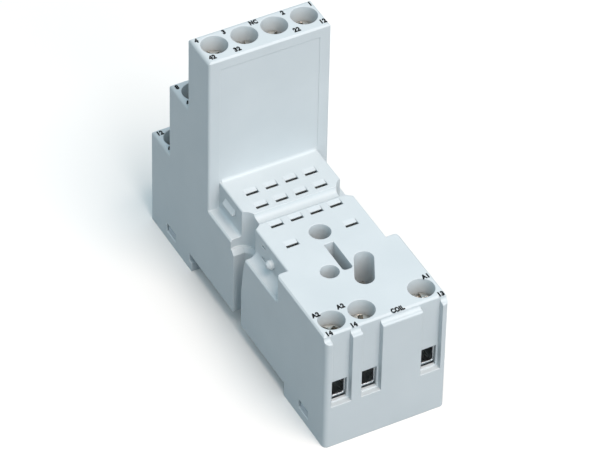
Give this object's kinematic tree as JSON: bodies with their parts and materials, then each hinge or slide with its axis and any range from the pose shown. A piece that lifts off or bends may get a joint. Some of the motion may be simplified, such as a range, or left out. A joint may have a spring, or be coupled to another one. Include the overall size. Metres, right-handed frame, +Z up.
{
  "type": "relay socket",
  "caption": "Stepped screw-terminal socket for a plug-in relay, with pin slots in its deck, a sprung rail foot and rising-cage clamps.",
  "frame": {"origin": "middle of the base, on the surface that the feet rest on", "axes": "+Y towards the contact tower, +Z up from the base, +X across the width towards terminal A1"},
  "size_m": [0.027, 0.075, 0.061],
  "materials": {
    "moulded_housing": "light grey moulded thermoplastic, fine matt face",
    "moulded_cover": "light grey moulded thermoplastic",
    "latch_plastic": "grey moulded acetal",
    "spring_wire": "rolled spring steel strip, folded",
    "screw_steel": "nickel plated steel, turned head",
    "cage_steel": "zinc plated folded steel",
    "contact_alloy": "tinned stamped copper alloy strip"
  },
  "bodies": {
    "base": {"housing": "moulded_housing", "base_cover": "moulded_cover", "latch_springs": "spring_wire", "contact_nc_1": "contact_alloy", "contact_nc_2": "contact_alloy", "contact_nc_3": "contact_alloy", "contact_nc_4": "contact_alloy", "contact_no_1": "contact_alloy", "contact_no_2": "contact_alloy", "contact_no_3": "contact_alloy", "contact_no_4": "contact_alloy", "contact_com_1": "contact_alloy", "contact_com_2": "contact_alloy", "contact_com_3": "contact_alloy", "contact_com_4": "contact_alloy", "contact_a1": "contact_alloy", "contact_a2": "contact_alloy"},
    "rail_latch": {"rail_latch": "latch_plastic"},
    "screw_nc_1": {"screw_nc_1": "screw_steel"},
    "cage_nc_1": {"cage_nc_1": "cage_steel"},
    "screw_nc_2": {"screw_nc_2": "screw_steel"},
    "cage_nc_2": {"cage_nc_2": "cage_steel"},
    "screw_nc_3": {"screw_nc_3": "screw_steel"},
    "cage_nc_3": {"cage_nc_3": "cage_steel"},
    "screw_nc_4": {"screw_nc_4": "screw_steel"},
    "cage_nc_4": {"cage_nc_4": "cage_steel"},
    "screw_no_1": {"screw_no_1": "screw_steel"},
    "cage_no_1": {"cage_no_1": "cage_steel"},
    "screw_no_2": {"screw_no_2": "screw_steel"},
    "cage_no_2": {"cage_no_2": "cage_steel"},
    "screw_no_3": {"screw_no_3": "screw_steel"},
    "cage_no_3": {"cage_no_3": "cage_steel"},
    "screw_no_4": {"screw_no_4": "screw_steel"},
    "cage_no_4": {"cage_no_4": "cage_steel"},
    "screw_com_1": {"screw_com_1": "screw_steel"},
    "cage_com_1": {"cage_com_1": "cage_steel"},
    "screw_com_2": {"screw_com_2": "screw_steel"},
    "cage_com_2": {"cage_com_2": "cage_steel"},
    "screw_com_3": {"screw_com_3": "screw_steel"},
    "cage_com_3": {"cage_com_3": "cage_steel"},
    "screw_com_4": {"screw_com_4": "screw_steel"},
    "cage_com_4": {"cage_com_4": "cage_steel"},
    "screw_a1": {"screw_a1": "screw_steel"},
    "cage_a1": {"cage_a1": "cage_steel"},
    "screw_a2": {"screw_a2": "screw_steel"},
    "cage_a2": {"cage_a2": "cage_steel"},
    "screw_a2_link": {"screw_a2_link": "screw_steel"},
    "cage_a2_link": {"cage_a2_link": "cage_steel"}
  },
  "joints": [
    {"name": "latch_slide", "type": "slide", "parent": "base", "child": "rail_latch", "axis": [0, -1, 0], "range_m": [0, 0.0026], "stiffness_N_per_m": 1200, "springref_m": -0.001, "deforming": ["latch_springs"]},
    {"name": "turn_nc_1", "type": "hinge", "parent": "base", "child": "screw_nc_1", "pos_m": [0.0099, 0.01715, 0.0578], "axis": [0, 0, -1], "range_deg": [0, 2800]},
    {"name": "rise_nc_1", "type": "slide", "parent": "base", "child": "cage_nc_1", "axis": [0, 0, 1], "range_m": [0, 0.0038]},
    {"name": "turn_nc_2", "type": "hinge", "parent": "base", "child": "screw_nc_2", "pos_m": [0.0033, 0.01715, 0.0578], "axis": [0, 0, -1], "range_deg": [0, 2800]},
    {"name": "rise_nc_2", "type": "slide", "parent": "base", "child": "cage_nc_2", "axis": [0, 0, 1], "range_m": [0, 0.0038]},
    {"name": "turn_nc_3", "type": "hinge", "parent": "base", "child": "screw_nc_3", "pos_m": [-0.0033, 0.01715, 0.0578], "axis": [0, 0, -1], "range_deg": [0, 2800]},
    {"name": "rise_nc_3", "type": "slide", "parent": "base", "child": "cage_nc_3", "axis": [0, 0, 1], "range_m": [0, 0.0038]},
    {"name": "turn_nc_4", "type": "hinge", "parent": "base", "child": "screw_nc_4", "pos_m": [-0.0099, 0.01715, 0.0578], "axis": [0, 0, -1], "range_deg": [0, 2800]},
    {"name": "rise_nc_4", "type": "slide", "parent": "base", "child": "cage_nc_4", "axis": [0, 0, 1], "range_m": [0, 0.0038]},
    {"name": "turn_no_1", "type": "hinge", "parent": "base", "child": "screw_no_1", "pos_m": [0.0099, 0.02525, 0.0396], "axis": [0, 0, -1], "range_deg": [0, 2800]},
    {"name": "rise_no_1", "type": "slide", "parent": "base", "child": "cage_no_1", "axis": [0, 0, 1], "range_m": [0, 0.0038]},
    {"name": "turn_no_2", "type": "hinge", "parent": "base", "child": "screw_no_2", "pos_m": [0.0033, 0.02525, 0.0396], "axis": [0, 0, -1], "range_deg": [0, 2800]},
    {"name": "rise_no_2", "type": "slide", "parent": "base", "child": "cage_no_2", "axis": [0, 0, 1], "range_m": [0, 0.0038]},
    {"name": "turn_no_3", "type": "hinge", "parent": "base", "child": "screw_no_3", "pos_m": [-0.0033, 0.02525, 0.0396], "axis": [0, 0, -1], "range_deg": [0, 2800]},
    {"name": "rise_no_3", "type": "slide", "parent": "base", "child": "cage_no_3", "axis": [0, 0, 1], "range_m": [0, 0.0038]},
    {"name": "turn_no_4", "type": "hinge", "parent": "base", "child": "screw_no_4", "pos_m": [-0.0099, 0.02525, 0.0396], "axis": [0, 0, -1], "range_deg": [0, 2800]},
    {"name": "rise_no_4", "type": "slide", "parent": "base", "child": "cage_no_4", "axis": [0, 0, 1], "range_m": [0, 0.0038]},
    {"name": "turn_com_1", "type": "hinge", "parent": "base", "child": "screw_com_1", "pos_m": [0.0099, 0.03335, 0.021], "axis": [0, 0, -1], "range_deg": [0, 2800]},
    {"name": "rise_com_1", "type": "slide", "parent": "base", "child": "cage_com_1", "axis": [0, 0, 1], "range_m": [0, 0.0038]},
    {"name": "turn_com_2", "type": "hinge", "parent": "base", "child": "screw_com_2", "pos_m": [0.0033, 0.03335, 0.021], "axis": [0, 0, -1], "range_deg": [0, 2800]},
    {"name": "rise_com_2", "type": "slide", "parent": "base", "child": "cage_com_2", "axis": [0, 0, 1], "range_m": [0, 0.0038]},
    {"name": "turn_com_3", "type": "hinge", "parent": "base", "child": "screw_com_3", "pos_m": [-0.0033, 0.03335, 0.021], "axis": [0, 0, -1], "range_deg": [0, 2800]},
    {"name": "rise_com_3", "type": "slide", "parent": "base", "child": "cage_com_3", "axis": [0, 0, 1], "range_m": [0, 0.0038]},
    {"name": "turn_com_4", "type": "hinge", "parent": "base", "child": "screw_com_4", "pos_m": [-0.0099, 0.03335, 0.021], "axis": [0, 0, -1], "range_deg": [0, 2800]},
    {"name": "rise_com_4", "type": "slide", "parent": "base", "child": "cage_com_4", "axis": [0, 0, 1], "range_m": [0, 0.0038]},
    {"name": "turn_a1", "type": "hinge", "parent": "base", "child": "screw_a1", "pos_m": [0.0099, -0.0326, 0.026], "axis": [0, 0, -1], "range_deg": [0, 2800]},
    {"name": "rise_a1", "type": "slide", "parent": "base", "child": "cage_a1", "axis": [0, 0, 1], "range_m": [0, 0.0038]},
    {"name": "turn_a2", "type": "hinge", "parent": "base", "child": "screw_a2", "pos_m": [-0.0099, -0.0326, 0.026], "axis": [0, 0, -1], "range_deg": [0, 2800]},
    {"name": "rise_a2", "type": "slide", "parent": "base", "child": "cage_a2", "axis": [0, 0, 1], "range_m": [0, 0.0038]},
    {"name": "turn_a2_link", "type": "hinge", "parent": "base", "child": "screw_a2_link", "pos_m": [-0.0033, -0.0326, 0.026], "axis": [0, 0, -1], "range_deg": [0, 2800]},
    {"name": "rise_a2_link", "type": "slide", "parent": "base", "child": "cage_a2_link", "axis": [0, 0, 1], "range_m": [0, 0.0038]}
  ],
  "couplings": [
    {"joint": "turn_nc_1", "follows": "rise_nc_1", "rad_per_m": 12566},
    {"joint": "turn_nc_2", "follows": "rise_nc_2", "rad_per_m": 12566},
    {"joint": "turn_nc_3", "follows": "rise_nc_3", "rad_per_m": 12566},
    {"joint": "turn_nc_4", "follows": "rise_nc_4", "rad_per_m": 12566},
    {"joint": "turn_no_1", "follows": "rise_no_1", "rad_per_m": 12566},
    {"joint": "turn_no_2", "follows": "rise_no_2", "rad_per_m": 12566},
    {"joint": "turn_no_3", "follows": "rise_no_3", "rad_per_m": 12566},
    {"joint": "turn_no_4", "follows": "rise_no_4", "rad_per_m": 12566},
    {"joint": "turn_com_1", "follows": "rise_com_1", "rad_per_m": 12566},
    {"joint": "turn_com_2", "follows": "rise_com_2", "rad_per_m": 12566},
    {"joint": "turn_com_3", "follows": "rise_com_3", "rad_per_m": 12566},
    {"joint": "turn_com_4", "follows": "rise_com_4", "rad_per_m": 12566},
    {"joint": "turn_a1", "follows": "rise_a1", "rad_per_m": 12566},
    {"joint": "turn_a2", "follows": "rise_a2", "rad_per_m": 12566},
    {"joint": "turn_a2_link", "follows": "rise_a2_link", "rad_per_m": 12566}
  ]
}
